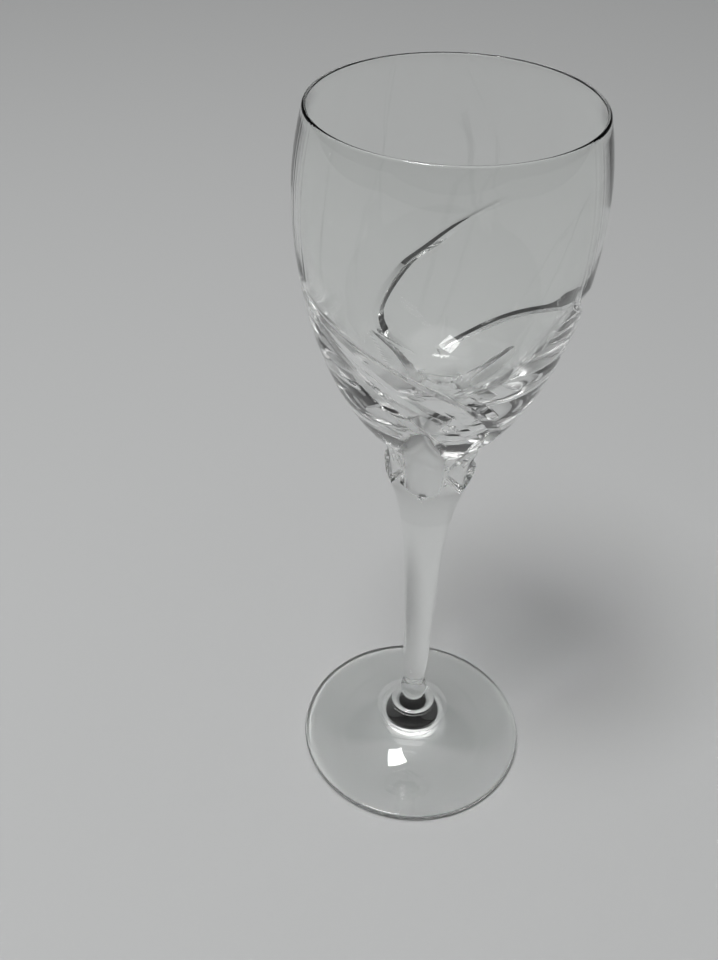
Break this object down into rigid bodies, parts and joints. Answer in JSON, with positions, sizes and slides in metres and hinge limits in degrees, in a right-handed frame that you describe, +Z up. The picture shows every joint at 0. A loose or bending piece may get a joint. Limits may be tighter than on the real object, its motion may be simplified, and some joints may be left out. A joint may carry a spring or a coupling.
{
  "type": "stemmed wine glass",
  "caption": "Stemmed white wine glass of clear cut crystal: egg-shaped bowl with swirling cuts, faceted knop, slim tapering stem and round foot.",
  "frame": {"origin": "on the table under the middle of the foot", "axes": "+Z up along the axis of the glass, from the foot to the rim; the side seen in the picture faces -Y"},
  "size_m": [0.0668, 0.0668, 0.2],
  "materials": {
    "cut_crystal": "clear lead crystal, cut and acid polished",
    "drawn_crystal": "clear lead crystal, drawn and fire polished",
    "pressed_crystal": "clear lead crystal, shaped hot and fire polished"
  },
  "bodies": {
    "root": {"bowl": "cut_crystal", "knop": "cut_crystal", "stem": "drawn_crystal", "button": "pressed_crystal", "foot": "pressed_crystal"}
  },
  "joints": []
}
